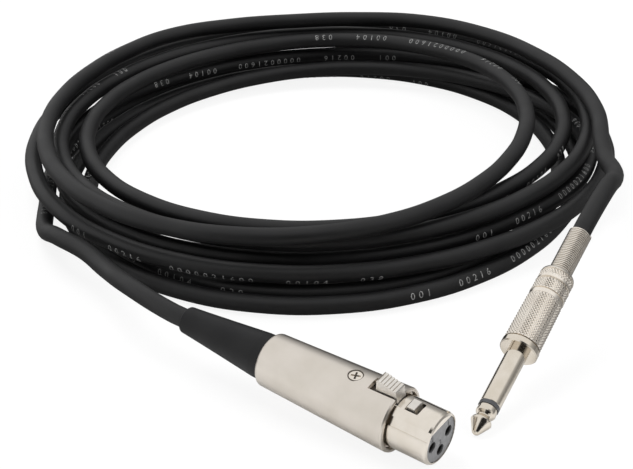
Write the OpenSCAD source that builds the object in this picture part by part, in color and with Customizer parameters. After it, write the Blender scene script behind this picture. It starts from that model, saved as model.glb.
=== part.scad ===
// Microphone cable, coiled: XLR socket connector at one end, 6.35 mm phone plug at the other.
// Sizes in mm, +Z up. The cable lies in four piled layers on the surface at z = 0.

/* [Cable] */
// Outer diameter of the jacket
cable_d = 6.0; // [4.5:0.1:8]
// Mean radius of the coiled loops
coil_r = 92.2; // [70:0.1:140]
// Rings along the coil, 24 to a loop
coil_rings = 182; // [150:1:230]
// Height of one piled layer, as a share of the jacket diameter
layer_pitch = 1.165; // [1.1:0.005:1.3]

/* [XLR shell] */
// Barrel wall at its front rim, around the nose
barrel_wall = 1.85; // [1.5:0.05:3]
// Barrel wall at the boot, around the cavity
barrel_rear_wall = 1.25; // [0.8:0.05:2.5]
// Barrel length
barrel_len = 45.8; // [38:0.1:60]
// Rounding of the barrel's rear edge
barrel_round = 1.3; // [0.5:0.1:1.6]
// Nose diameter, the part that enters a chassis shell
nose_d = 15.9; // [14:0.05:17]
// Length of nose in front of the barrel
nose_len = 13.3; // [11:0.1:17]
// Length of nose held inside the barrel
nose_hidden = 21; // [17:0.5:26]
// Nose wall
nose_wall = 0.95; // [0.7:0.05:1.3]
// Rounding of the barrel rim
rim_round = 0.6; // [0.3:0.05:1]
// Gap around the nose at the rim
relief_w = 0.75; // [0.3:0.05:1]
// Depth of that gap
relief_depth = 1.6; // [0.5:0.1:3]
// Radial clearance between turned pieces
fit = 0.05; // [0.02:0.01:0.1]

/* [XLR keyway and window] */
// Width of the polarising groove
key_w = 2.8; // [2:0.1:4]
// Depth of the polarising groove
key_depth = 0.6; // [0.3:0.05:0.8]
// Angle of the groove from the latch
key_angle = 50; // [40:1:70]
// Width of the hook window
window_w = 4.8; // [4:0.1:6]
// Front edge of the window behind the nose face
window_front = 6.2; // [5:0.1:7]
// Length of the window
window_len = 4.4; // [4:0.1:6]

/* [XLR insert] */
// Height of the flat above the axis
flat_h = 5.06; // [4.6:0.02:5.3]
// Depth of the metal D plate at the front of the nose
plate_depth = 3.4; // [2:0.1:4.5]
// Length of the insulator
insert_len = 28; // [24:0.5:31]
// Radius of the contact circle
pin_circle_r = 4.04; // [3.6:0.02:4.3]
// Bore of a contact, which takes a 2.4 mm pin
pin_bore_d = 2.4; // [2.2:0.05:2.6]
// Depth of the contact bore
pin_bore_len = 12; // [9:0.5:14]
// Outside diameter of a contact
contact_d = 3.0; // [2.8:0.05:3.4]
// Entry hole in the insulator face
entry_d = 3.35; // [3.2:0.05:3.8]

/* [XLR latch] */
// Width of the lever
lever_w = 3.8; // [3:0.1:4.2]
// Thickness of the lever
lever_t = 0.8; // [0.6:0.05:1]
// Width of the thumb button
button_w = 4.2; // [3.4:0.1:4.4]
// Length of the thumb button
button_len = 7.1; // [6:0.1:9]
// How far the button stands in front of the barrel rim
button_ahead = 0.2; // [0:0.1:1]
// Height of the button's rear edge above the barrel
button_rise = 3.6; // [2:0.1:4.5]
// Fall of the button's top towards the nose
button_fall = 1.6; // [0:0.1:2]
// Side clearance of the button in its slot
button_gap = 0.25; // [0.15:0.05:0.5]
// Ribs across the button
button_ribs = 6; // [4:1:8]
// Depth of the grooves between the ribs
rib_depth = 0.35; // [0.1:0.05:0.5]
// Hook height above the nose surface
hook_rise = 0.5; // [0.3:0.05:0.8]
// Length of the hook's flat top
hook_len = 2.4; // [1.5:0.1:3]
// Air between the lever and the bridge of the nose
lever_air = 0.18; // [0.1:0.02:0.3]
// Rear end of the button's slot behind the barrel rim
slot_back = 9.5; // [8.5:0.1:10.5]
// Latch pivot behind the barrel rim
pivot_back = 11.9; // [11:0.1:14]
// Latch pivot below the nose surface
pivot_low = 1.55; // [1.3:0.05:2]
// Pivot pin diameter
pivot_d = 1.2; // [1:0.1:1.6]
// Wall of the lever's hub around its pin
hub_wall = 0.55; // [0.4:0.05:0.8]
// Width of the leaf spring
leaf_w = 2.6; // [2:0.1:3.4]
// Thickness of the leaf spring
leaf_t = 0.25; // [0.15:0.05:0.4]

/* [XLR boot and clamp] */
// Boot length behind the barrel
boot_len = 31.5; // [26:0.5:44]
// Boot diameter where the cable leaves
boot_tail_d = 8.4; // [8:0.1:11]
// Length of boot spigot inside the barrel
spigot_len = 8; // [6:0.5:10]
// Length of the cable clamp
clamp_len = 11; // [8:0.5:13]
// Retaining screw behind the barrel rim
screw_back = 15.2; // [14.6:0.1:18]
// Screw head diameter
screw_head_d = 4.3; // [4:0.1:5.4]
// Screw shank diameter
screw_d = 2.4; // [2:0.1:2.8]
// How deep the screw head lies below the barrel surface
screw_sunk = 0.3; // [0.1:0.05:0.5]
// Gap around the screw head
screw_gap = 0.2; // [0.05:0.05:0.3]

/* [Phone plug] */
// Shank diameter
plug_d = 6.35; // [6.2:0.01:6.4]
// Length from tip to flange
plug_reach = 31; // [29:0.5:34]
// Distance of the insulating ring from the tip
ring_at = 9.4; // [8:0.1:10.5]
// Width of the insulating ring
ring_w = 1.2; // [0.8:0.1:1.6]
// Diameter of the rod that carries the tip
rod_d = 2.4; // [2:0.1:2.8]
// Wall of the insulating sleeve on the rod
rod_sleeve = 0.6; // [0.4:0.05:0.8]
// Length of the conical tip, up to its widest ring
cone_len = 4.3; // [3.5:0.1:5]
// Waist diameter behind the cone
waist_d = 4.4; // [3.8:0.1:5]
// Flange diameter
flange_d = 11.8; // [11:0.1:13]
// Flange thickness
flange_w = 2.2; // [1.5:0.1:3]
// Handle diameter at the flange
handle_front_d = 11.6; // [10.4:0.1:12.5]
// Handle diameter at the spring
handle_rear_d = 10.9; // [9.6:0.1:12]
// Handle length
handle_len = 29; // [26:0.1:38]
// Band between the two grooves
band_len = 4.7; // [3:0.1:6]
// Handle behind the second groove
rear_len = 5.2; // [4:0.1:7]
// Depth of the grooves in the handle
groove_depth = 0.35; // [0.2:0.05:0.5]
// Handle wall at the front
handle_wall = 1.1; // [0.7:0.05:1.3]
// Length of the threaded spigot inside the handle
thread_len = 5.3; // [4:0.1:7]

/* [Plug strain spring] */
// Spring wire
spring_wire = 0.5; // [0.4:0.05:0.7]
// Free length behind the handle
spring_len = 18; // [14:0.5:24]
// Curls in the spring
spring_curls = 19; // [14:1:24]
// Air between the jacket and the spring
spring_air = 0.05; // [0.05:0.05:0.4]

/* [Wires] */
// Insulated core diameter
core_d = 1.5; // [1.2:0.1:1.8]
// Thickness of the two soldering lugs
lug_t = 0.5; // [0.3:0.05:0.8]
// Radius of the fibre washer between the lugs
lug_r = 3.4; // [3:0.05:3.8]

/* [Hidden] */

// The box of the whole part is centred on the origin by this one shift of the coil's centre.
frame_x = -2.3;
frame_y = 43.2;
round_fn = 64;
eps = 0.01;
satin = [0.78, 0.76, 0.73];
bright = [0.86, 0.84, 0.80];
black = [0.10, 0.10, 0.11];
grey = [0.45, 0.46, 0.48];

// ---- swept tubes -------------------------------------------------------------------------------
function unit(v) = v / norm(v);
function bisect(p, i) =
  i == 0 ? unit(p[1] - p[0]) :
  i == len(p) - 1 ? unit(p[i] - p[i - 1]) :
  unit(unit(p[i] - p[i - 1]) + unit(p[i + 1] - p[i]));
function ring(p, t, r, n, up) =
  let (s = unit(cross(t, up)), u = cross(s, t))
  [for (k = [0:n - 1]) p + r * (cos(90 + 360 * k / n) * s + sin(90 + 360 * k / n) * u)];

module tube(p, d, n, up) {
  last = (len(p) - 1) * n;
  pts = [for (i = [0:len(p) - 1]) each ring(p[i], bisect(p, i), d / 2, n, up)];
  sides = [for (i = [0:len(p) - 2]) for (k = [0:n - 1])
    let (a = i * n + k, b = i * n + (k + 1) % n, c = a + n, e = b + n)
    each [[a, b, e], [a, e, c]]];
  foot = [for (k = [1:n - 2]) [0, k + 1, k]];
  head = [for (k = [1:n - 2]) [last, last + k, last + k + 1]];
  polyhedron(points = pts, faces = concat(foot, sides, head), convexity = 12);
}

// Least distance between points of a path that lie at least `apart` samples from each other.
function thirds(p) = [for (i = [0:len(p) - 2]) for (f = [0:2]) p[i] + (p[i + 1] - p[i]) * f / 3];
function least(p, apart) =
  min([for (i = [0:len(p) - 1 - apart]) min([for (j = [i + apart:len(p) - 1]) norm(p[i] - p[j])])]);

// ---- coil --------------------------------------------------------------------------------------
// Loops wind clockwise seen from above. Each layer spirals in or out at a steady rate, and the cable
// climbs a layer in the half turn where the spiral reverses. All offsets are in jacket diameters.
start_angle = 198;
turn_s = [0, 2.27, 4.01, 6.45, 7.6];
turn_r = [1.95, -1.05, 2, -1.75, 3.1];
layer_x = [0.35, 0.7, 0.33, -0.87];
layer_y = [-0.85, -0.13, 1.1, -0.64];
layer_oval = [-0.04, 0.04, 0.005, -0.048];
loop_skew = 0.043;
ease = 0.06;
// Loops bow out or in where they were laid by hand: [turn, height, half width in turns].
bows = [[2.56, 0.76, 0.12], [7.3, -1.48, 0.105], [7.7, 1.3, 0.3]];

function ramp(t) = t <= 0 ? 0 : t >= 1 ? 1 : t * t * (3 - 2 * t);
function blend(v, s) =
  v[0] + (v[1] - v[0]) * ramp((s - turn_s[1]) * 2 + 0.5)
  + (v[2] - v[1]) * ramp((s - turn_s[2]) * 2 + 0.5)
  + (v[3] - v[2]) * ramp((s - turn_s[3]) * 2 + 0.5);
function steady(s) = coil_r + cable_d * lookup(s, [for (i = [0:4]) [turn_s[i], turn_r[i]]]);
function loop_r(s) = (steady(s - ease) + steady(s) + steady(s + ease)) / 3;
function bow(s, b) = b[1] * pow(max(0, 1 - pow((s - b[0]) / b[2], 2)), 2);
function coil_at(s) =
  let (a = start_angle - 360 * s,
    r = loop_r(s) * (1 + blend(layer_oval, s) * cos(2 * a) + loop_skew * sin(2 * a))
      + cable_d * (bow(s, bows[0]) + bow(s, bows[1]) + bow(s, bows[2])))
  [cable_d * blend(layer_x, s) + r * cos(a),
    cable_d * blend(layer_y, s) + r * sin(a),
    cable_d * (0.5 + layer_pitch * blend([0, 1, 2, 3], s))];

coil_core = [for (i = [0:coil_rings]) coil_at(i / 24)];
coil_in = unit(coil_core[1] - coil_core[0]);
coil_out = unit(coil_core[coil_rings] - coil_core[coil_rings - 1]);
coil_start = coil_core[0] - cable_d * coil_in;
coil_end = coil_core[coil_rings] + cable_d * coil_out;
coil_path = concat([coil_start], coil_core, [coil_end]);

module cable_coil() {
  echo(coil_gap_mm = least(thirds(coil_core), 36) - cable_d);
  color(black) tube(coil_path, cable_d, 6, [0, 0, 1]);
}

// ---- places of the two connectors, from the coil's centre -----------------------------------------
// Connector frames: Z runs out of the mating end, Y is the latch side. The XLR connector rests on its
// barrel rim with its tail held up by the cable, and the plug rests on the widest ring of its tip.
nose_r = nose_d / 2;
nose_bore_r = nose_r - nose_wall;
bore_front_r = nose_r + fit;
front_r = bore_front_r + barrel_wall;
xlr_x = 34.2;
xlr_y = -190;
xlr_yaw = -36.1;
xlr_tilt = 4.3;
xlr_roll = 9;
xlr_z = front_r * cos(xlr_tilt) - (nose_len + rim_round) * sin(xlr_tilt);
plug_x = 44.8;
plug_y = -176.4;
plug_yaw = -119.6;
plug_tilt = 22.2;
plug_z = plug_d / 2 * cos(plug_tilt) - cone_len * sin(plug_tilt);

module place(at, yaw, tilt, roll) {
  translate(at) rotate([0, 0, yaw]) rotate([0, tilt, 0]) rotate([roll, 0, 0])
    rotate([90, 0, 90]) children();
}

function heading(yaw, tilt) = [cos(yaw) * cos(tilt), sin(yaw) * cos(tilt), -sin(tilt)];
xlr_dir = heading(xlr_yaw, xlr_tilt);
plug_dir = heading(plug_yaw, plug_tilt);

// Stations along the connectors, all measured backwards from the mating face.
rim = nose_len;
shell_end = rim + barrel_len;
boot_end = shell_end + boot_len;
handle_start = plug_reach + flange_w;
handle_end = handle_start + handle_len;
spring_end = handle_end + spring_len;

// ---- leads ---------------------------------------------------------------------------------------
xlr_exit = [xlr_x, xlr_y, xlr_z] - boot_end * xlr_dir;
plug_exit = [plug_x, plug_y, plug_z] - spring_end * plug_dir;
lead_xlr_path = [
  xlr_exit,
  xlr_exit - cable_d * xlr_dir,
  [-57.5, -118.5, 16.5],
  [-67.5, -99.5, 12.5],
  [-75.5, -87, 12],
  [-86.5, -73.5, 10.5],
  [-93.5, -56.5, 4.5],
  coil_start - cable_d * coil_in,
  coil_start
];
lead_plug_path = [
  coil_end,
  coil_end + cable_d * coil_out,
  [100, -44, 25.2],
  [99.8, -60, 28.5],
  [97.2, -76, 33],
  [92.5, -90, 36.6],
  plug_exit - 0.8 * cable_d * plug_dir,
  plug_exit
];

module cable_lead_xlr() {
  color(black) tube(lead_xlr_path, cable_d, 8, [0, 0, 1]);
}

module cable_lead_plug() {
  color(black) tube(lead_plug_path, cable_d, 8, [0, 0, 1]);
}

// ---- turned helpers ------------------------------------------------------------------------------
// A turned piece from [radius, station] pairs, stations counted backwards.
module turned(profile) {
  rotate_extrude($fn = round_fn) polygon([for (q = profile) [q[0], -q[1]]]);
}

// A round bar between two stations.
module bar(r, from, to) {
  translate([0, 0, -to]) cylinder(r = r, h = to - from, $fn = round_fn);
}

// A block across the latch side: width across X, heights along Y, stations backwards.
module latch_block(w, low, high, from, to) {
  translate([-w / 2, low, -to]) cube([w, high - low, to - from]);
}

// ---- XLR front shell -----------------------------------------------------------------------------
nose_total = rim + nose_hidden;
insert_r = nose_bore_r - fit;
slot_w = button_w + 2 * button_gap;
bridge_back = rim - button_ahead - 0.3;
pivot_at = rim + pivot_back;
pivot_y = nose_r - pivot_low;
hub_r = pivot_d / 2 + hub_wall;
screw_at = rim + screw_back;

module keyway() {
  rotate([0, 0, key_angle]) translate([-key_w / 2, nose_r - key_depth, -rim - 1])
    cube([key_w, 2, rim + 2]);
}

module xlr_front_shell() {
  color(bright) difference() {
    turned([
      [0, 0], [nose_r - 1, 0], [nose_r - 0.3, 0.3], [nose_r, 1], [nose_r, nose_total], [0, nose_total]
    ]);
    bar(nose_bore_r, plate_depth, nose_total + 1);
    intersection() {
      bar(nose_bore_r, -1, plate_depth + 1);
      translate([-10, -10, -plate_depth - 1]) cube([20, 10 + flat_h + fit, plate_depth + 2]);
    }
    latch_block(window_w, 4, nose_r + 2, window_front, window_front + window_len);
    latch_block(slot_w, 4, nose_r + 2, bridge_back, pivot_at + hub_r + 0.45);
    keyway();
    translate([0, pivot_y, -pivot_at]) rotate([0, 90, 0])
      cylinder(d = pivot_d, h = 20, center = true, $fn = 32);
    translate([0, 4, -screw_at]) rotate([-90, 0, 0]) cylinder(d = screw_d, h = 6, $fn = 32);
  }
}

// ---- XLR insulator and contacts --------------------------------------------------------------------
face_at = 0.35;
contact_at = face_at + 1.3;
contact_len = 30;
channel_y = flat_h - 0.66;

module at_contact(i) {
  rotate([0, 0, [0, 180, 270][i - 1]]) translate([pin_circle_r, 0, 0]) children();
}

module xlr_insulator() {
  color(grey) difference() {
    bar(insert_r, face_at, insert_len);
    latch_block(20, flat_h, 10, face_at - 1, insert_len + 1);
    latch_block(slot_w, channel_y, 10, plate_depth + 0.6, insert_len + 1);
    for (i = [1:3]) at_contact(i) {
      bar(entry_d / 2, face_at - 1, contact_at);
      bar(contact_d / 2 + fit, contact_at - eps, insert_len + 1);
    }
  }
}

module contact(i) {
  color([0.80, 0.68, 0.38]) at_contact(i) difference() {
    bar(contact_d / 2, contact_at, contact_len);
    bar(pin_bore_d / 2, contact_at - 1, contact_at + pin_bore_len);
    bar(core_d / 2 + fit, contact_len - 3, contact_len + 1);
  }
}

module xlr_contact_1() { contact(1); }
module xlr_contact_2() { contact(2); }
module xlr_contact_3() { contact(3); }

// ---- XLR latch -------------------------------------------------------------------------------------
// The lever lies under the bridge of the nose, with its hook in the window and its button in the slot.
lever_top = sqrt(pow(nose_bore_r, 2) - pow(lever_w / 2, 2)) - lever_air;
lever_low = lever_top - lever_t;
lever_tip = window_front + 0.3;
hook_back = window_front + window_len - 0.5;
hook_front = hook_back - hook_len;
button_front = rim - button_ahead;
button_back = button_front + button_len;
button_top = front_r + button_rise;
button_lip = 0.6;
rib_pitch = (button_len - 2 * button_lip) / button_ribs;
button_fall_rate = button_fall / (button_len - 2 * button_lip);
function button_y(st) = button_top - button_fall_rate * (button_back - button_lip - st);

// Side view: X is the station, Y the height.
module side(w, pts) {
  rotate([0, 90, 0]) linear_extrude(w, center = true) polygon(pts);
}

module xlr_latch() {
  first = button_front + button_lip;
  ribs = [for (k = [0:button_ribs - 1], q = [[0, 0], [0.55, 0], [0.65, 1], [0.95, 1]])
    let (st = first + (k + q[0]) * rib_pitch) [st, button_y(st) - q[1] * rib_depth]];
  color(satin) difference() {
    union() {
      side(lever_w, [
        [lever_tip, lever_low], [lever_tip, lever_top], [hook_front - 0.7, lever_top],
        [hook_front, nose_r + hook_rise], [hook_back, nose_r + hook_rise],
        [hook_back, lever_top], [pivot_at, lever_top], [pivot_at, lever_low]
      ]);
      side(button_w, concat(
        [[button_front, lever_low], [button_front, nose_r + 0.35], [first - 0.2, button_y(first) - 0.4]],
        ribs,
        [[button_back - button_lip, button_top], [button_back - 0.2, button_top - 0.4],
          [button_back, front_r - 0.4], [button_back, lever_top + 1.2], [button_back + 2, lever_top],
          [button_back + 2, lever_low]]
      ));
      translate([0, pivot_y, -pivot_at]) rotate([0, 90, 0])
        cylinder(r = hub_r, h = lever_w, center = true, $fn = 48);
    }
    translate([0, pivot_y, -pivot_at]) rotate([0, 90, 0])
      cylinder(d = pivot_d + 2 * fit, h = 20, center = true, $fn = 32);
  }
}

module xlr_latch_pin() {
  length = 2 * sqrt(pow(nose_r, 2) - pow(pivot_y + pivot_d / 2, 2));
  color(bright) translate([0, pivot_y, -pivot_at]) rotate([0, 90, 0])
    cylinder(d = pivot_d, h = length, center = true, $fn = 32);
}

// The leaf lies on the insulator at its rear and bears on the lever from below.
module xlr_latch_spring() {
  top = lever_low - 0.05;
  base = channel_y;
  back = insert_len - 1;
  color(bright) side(leaf_w, [
    [back, base], [back, base + leaf_t], [back - 3, base + leaf_t], [back - 8, top],
    [back - 9.5, top], [back - 10.5, top - 0.4], [back - 10.3, top - 0.6], [back - 9.3, top - leaf_t],
    [back - 8.1, top - leaf_t], [back - 3.1, base]
  ]);
}

// ---- XLR barrel, screw, boot and clamp ---------------------------------------------------------------
cavity_r = nose_bore_r;
rear_r = cavity_r + barrel_rear_wall;
boot_seat_r = rear_r - barrel_round;
spigot_r = boot_seat_r - 0.55;
cable_r = cable_d / 2;
cable_bore_r = cable_r + fit;

function shell_r(st) = front_r + (rear_r - front_r) * (st - rim) / barrel_len;
head_top = shell_r(screw_at) - screw_sunk;
head_low = bore_front_r + 0.05;

module xlr_shell() {
  q = barrel_round;
  color(satin) difference() {
    turned(concat(
      [[0, rim], [front_r - rim_round, rim], [front_r - 0.28 * rim_round, rim + 0.28 * rim_round],
        [front_r, rim + rim_round]],
      [for (a = [0:15:90]) [rear_r - q + q * cos(a), shell_end - q + q * sin(a)]],
      [[0, shell_end]]
    ));
    turned([
      [0, rim - 1], [bore_front_r + relief_w, rim - 1], [bore_front_r + relief_w, rim + relief_depth],
      [bore_front_r, rim + relief_depth + 0.4], [bore_front_r, nose_total], [cavity_r, nose_total],
      [cavity_r, shell_end - spigot_len - 1], [spigot_r + fit, shell_end - spigot_len],
      [spigot_r + fit, shell_end + 1], [0, shell_end + 1]
    ]);
    latch_block(slot_w + 0.3, 4, front_r + 4, rim - 1, rim + slot_back);
    translate([0, 4, -screw_at]) rotate([-90, 0, 0])
      cylinder(d = screw_d + 2 * fit, h = 6, $fn = 32);
    translate([0, head_low, -screw_at]) rotate([-90, 0, 0])
      cylinder(d1 = screw_d + 2 * fit, d2 = screw_head_d + 2 * fit, h = head_top - head_low, $fn = 48);
    translate([0, head_top - eps, -screw_at]) rotate([-90, 0, 0])
      cylinder(d = screw_head_d + 2 * screw_gap, h = 2, $fn = 48);
  }
}

module xlr_retaining_screw() {
  shank_low = nose_bore_r - 0.8;
  color(bright) translate([0, 0, -screw_at]) rotate([-90, 0, 0]) difference() {
    union() {
      translate([0, 0, head_low])
        cylinder(d1 = screw_d, d2 = screw_head_d, h = head_top - head_low, $fn = 48);
      translate([0, 0, shank_low]) cylinder(d = screw_d - 0.02, h = head_low - shank_low + 0.1, $fn = 32);
    }
    for (a = [20, 110]) rotate([0, 0, a]) translate([-1.4, -0.3, head_top - 0.7]) cube([2.8, 0.6, 1]);
  }
}

clamp_end = shell_end - spigot_len;

module xlr_cable_clamp() {
  color(black) difference() {
    turned([
      [cable_bore_r, clamp_end - clamp_len], [cable_bore_r + 1.6, clamp_end - clamp_len],
      [cavity_r - 0.3, clamp_end - clamp_len + 3.5], [cavity_r - 0.3, clamp_end - 1.6],
      [spigot_r - 0.1, clamp_end], [cable_bore_r, clamp_end]
    ]);
    for (a = [0:90:270]) rotate([0, 0, a + 45]) translate([0, -0.4, -clamp_end + 2.5])
      cube([10, 0.8, clamp_len]);
  }
}

module xlr_boot() {
  tail = boot_tail_d / 2;
  tail_round = 0.7;
  color(black) turned(concat(
    [[cable_bore_r, clamp_end], [spigot_r, clamp_end], [spigot_r, shell_end], [boot_seat_r, shell_end],
      [boot_seat_r - 0.06, shell_end + 0.1 * boot_len]],
    [for (f = [0.2:0.1:0.9]) [tail + (boot_seat_r - 0.06 - tail) * pow((0.98 - f) / 0.88, 1.06),
      shell_end + f * boot_len]],
    [for (a = [0:22.5:90]) [tail - tail_round * (1 - cos(a)), boot_end - tail_round * (1 - sin(a))]],
    [[cable_bore_r, boot_end]]
  ));
}

tail_start = clamp_end - clamp_len - 1.5;

module cable_tail_xlr() {
  color(black) bar(cable_r, tail_start, boot_end);
}

module xlr_wire(i) {
  a = [0, 180, 270][i - 1];
  far = [pin_circle_r * cos(a), pin_circle_r * sin(a), 0];
  near = far * (core_d * 0.68 / pin_circle_r);
  color([[0.75, 0.72, 0.66], [0.55, 0.12, 0.12], [0.85, 0.85, 0.83]][i - 1]) tube([
    far - [0, 0, contact_len - 3],
    far - [0, 0, contact_len + 0.8],
    far * 0.8 + near * 0.2 - [0, 0, contact_len + 3],
    far * 0.2 + near * 0.8 - [0, 0, tail_start - 3.5],
    near - [0, 0, tail_start - 1.5],
    near - [0, 0, tail_start]
  ], core_d, 8, [0.3, 1, 0]);
}

module xlr_wire_1() { xlr_wire(1); }
module xlr_wire_2() { xlr_wire(2); }
module xlr_wire_3() { xlr_wire(3); }

// ---- phone plug --------------------------------------------------------------------------------------
plug_r = plug_d / 2;
rod_r = rod_d / 2;
tube_r = rod_r + rod_sleeve;
sleeve_at = ring_at + ring_w;
thread_end = handle_start + thread_len;
bore_r = handle_front_d / 2 - handle_wall;
washer_t = 0.6;
ground_at = thread_end;
washer_at = ground_at + lug_t;
tip_lug_at = washer_at + washer_t;
rod_end = tip_lug_at + lug_t + 0.5;
plug_tail = handle_end - 15.2;

module plug_tip() {
  w = waist_d / 2;
  color(bright) turned([
    [0, 0], [0.7, 0.05], [1.1, 0.35], [plug_r - 0.15, cone_len - 0.35], [plug_r, cone_len],
    [plug_r - 0.1, cone_len + 0.4], [w + 0.35, cone_len + 1.3], [w, cone_len + 1.7], [w, cone_len + 2],
    [w + 0.35, cone_len + 2.4], [plug_r - 0.25, cone_len + 2.9], [plug_r - 0.12, cone_len + 3.3],
    [plug_r - 0.25, ring_at], [rod_r, ring_at], [rod_r, tip_lug_at + lug_t],
    [rod_r + 0.5, tip_lug_at + lug_t], [rod_r + 0.2, rod_end], [0, rod_end]
  ]);
}

module plug_insulator_ring() {
  color(black) turned([
    [rod_r + fit, ring_at], [plug_r, ring_at], [plug_r, sleeve_at], [rod_r + fit, sleeve_at]
  ]);
}

module plug_rod_insulator() {
  color(black) turned([
    [rod_r + fit, sleeve_at], [tube_r, sleeve_at], [tube_r, ground_at], [rod_r + fit, ground_at]
  ]);
}

module plug_sleeve() {
  color(bright) turned([
    [tube_r + fit, sleeve_at], [plug_r - 0.1, sleeve_at], [plug_r, sleeve_at + 0.15],
    [plug_r, plug_reach], [flange_d / 2 - 0.35, plug_reach], [flange_d / 2, plug_reach + 0.35],
    [flange_d / 2, handle_start - 0.15], [flange_d / 2 - 0.15, handle_start],
    [bore_r - fit, handle_start], [bore_r - fit, thread_end], [tube_r + fit, thread_end]
  ]);
}

strap_w = 2.6;
strap_low = max(lug_r, cable_bore_r);
crimp_at = plug_tail + 3;
crimp_len = 7;

module plug_ground_lug() {
  outer = cable_bore_r + lug_t;
  color(bright) difference() {
    union() {
      bar(strap_low + lug_t, ground_at, washer_at);
      translate([-strap_w / 2, -strap_low - lug_t, -crimp_at]) cube([strap_w, lug_t, crimp_at - ground_at]);
      bar(outer, crimp_at, crimp_at + crimp_len);
    }
    bar(tube_r + fit, ground_at - 1, washer_at + 1);
    bar(cable_bore_r, crimp_at - eps, crimp_at + crimp_len + 1);
    translate([-10, 1.2, -crimp_at - crimp_len - 1]) cube([20, 10, crimp_len + 1.99]);
  }
}

module plug_rear_washer() {
  color([0.50, 0.30, 0.18]) turned([
    [rod_r + fit, washer_at], [lug_r, washer_at], [lug_r, tip_lug_at], [rod_r + fit, tip_lug_at]
  ]);
}

module plug_tip_lug() {
  color(bright) difference() {
    union() {
      bar(2.5, tip_lug_at, tip_lug_at + lug_t);
      translate([-0.9, 1.9, -tip_lug_at - 4]) cube([1.8, lug_t, 4]);
    }
    bar(rod_r + fit, tip_lug_at - 1, tip_lug_at + lug_t + 1);
  }
}

inner_end = handle_end - 3.4;

module plug_insulating_tube() {
  color([0.86, 0.86, 0.84]) turned([
    [bore_r - 0.35, thread_end], [bore_r - fit, thread_end], [bore_r - fit, inner_end],
    [bore_r - 0.35, inner_end]
  ]);
}

// The eight rings of a curl lie on chords, so the radius is given at their corners.
spring_r = (cable_r + spring_air + spring_wire / 2) / cos(22.5);
spring_seat = handle_end - 2.2;

module plug_handle() {
  f = handle_front_d / 2;
  b = handle_rear_d / 2;
  g = groove_depth;
  function grip_r(st) = f + (b - f) * (st - handle_start) / handle_len;
  function point(st, drop) = [grip_r(st) - drop, st];
  groove_2 = handle_end - rear_len;
  groove_1 = groove_2 - band_len;
  lip = cable_r + 0.2;
  pocket = spring_r + 0.1 + spring_wire / 2 + fit;
  color(satin) turned([
    [bore_r, handle_start], [f - 0.25, handle_start], [f, handle_start + 0.3],
    point(groove_1 - 1.3, 0), point(groove_1 - 1.3, 0.15), point(groove_1, 0.15), point(groove_1 + 0.1, g),
    point(groove_1 + 0.4, g), point(groove_1 + 0.5, 0), point(groove_2, 0), point(groove_2 + 0.1, g),
    point(groove_2 + 0.35, g), point(groove_2 + 0.45, 0.15), point(groove_2 + 1.1, 0.15),
    point(groove_2 + 1.1, 0), point(handle_end - 1.5, 0), [b - 0.15, handle_end - 0.8],
    [b - 0.5, handle_end - 0.25], [max(b - 0.9, pocket + 0.2), handle_end],
    [pocket, handle_end], [pocket, spring_seat], [lip, spring_seat], [lip, inner_end], [bore_r, inner_end]
  ]);
}

// The strain spring winds closely, so that it bends with the cable. Both ends run straight.
spring_pitch = (spring_end - spring_seat - spring_wire) / spring_curls;

function curl_at(i) =
  let (n = 8 * spring_curls, a = 45 * i, r = spring_r + 0.1 * (1 - i / n))
  [r * cos(a), r * sin(a), -spring_seat - spring_wire / 2 - spring_pitch * i / 8];
spring_core = [for (i = [0:8 * spring_curls]) curl_at(i)];
spring_last = 8 * spring_curls;
spring_path = concat(
  [spring_core[0] - spring_wire * unit(spring_core[1] - spring_core[0])],
  spring_core,
  [spring_core[spring_last] + spring_wire * unit(spring_core[spring_last] - spring_core[spring_last - 1])]
);

module plug_spring() {
  echo(spring_gap_mm = least(thirds(spring_core), 18) - spring_wire);
  color(bright) tube(spring_path, spring_wire, 6, [0, 0, 1]);
}

module cable_tail_plug() {
  color(black) bar(cable_r, plug_tail, spring_end);
}

module plug_core_wire() {
  color([0.85, 0.85, 0.83]) tube([
    [0, 1.9 - core_d / 2, -tip_lug_at - 1.9],
    [0, 1.9 - core_d / 2, -tip_lug_at - 3.4],
    [0, 0.8, -plug_tail + 1.6],
    [0, 0.8, -plug_tail]
  ], core_d, 8, [1, 0, 0]);
}

module plug_shield_wire() {
  color([0.72, 0.50, 0.34]) tube([
    [0, -strap_low + core_d / 2, -rod_end - 0.4],
    [0, -strap_low + core_d / 2, -rod_end - 2],
    [0, -1.8, -plug_tail + 1.6],
    [0, -1.8, -plug_tail]
  ], core_d, 8, [1, 0, 0]);
}

// ---- placing -----------------------------------------------------------------------------------------
translate([frame_x, frame_y, 0]) {
  place([xlr_x, xlr_y, xlr_z], xlr_yaw, xlr_tilt, xlr_roll) {
    xlr_shell();
    xlr_front_shell();
    xlr_insulator();
    xlr_contact_1();
    xlr_contact_2();
    xlr_contact_3();
    xlr_latch();
    xlr_latch_pin();
    xlr_latch_spring();
    xlr_retaining_screw();
    xlr_cable_clamp();
    xlr_boot();
    xlr_wire_1();
    xlr_wire_2();
    xlr_wire_3();
    cable_tail_xlr();
  }
  place([plug_x, plug_y, plug_z], plug_yaw, plug_tilt, 0) {
    plug_tip();
    plug_insulator_ring();
    plug_rod_insulator();
    plug_sleeve();
    plug_ground_lug();
    plug_rear_washer();
    plug_tip_lug();
    plug_insulating_tube();
    plug_handle();
    plug_spring();
    plug_core_wire();
    plug_shield_wire();
    cable_tail_plug();
  }
  cable_coil();
  cable_lead_xlr();
  cable_lead_plug();
}
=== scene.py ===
import math

import bmesh
import bpy
from mathutils import Matrix, Vector
from mathutils.geometry import interpolate_bezier


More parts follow.
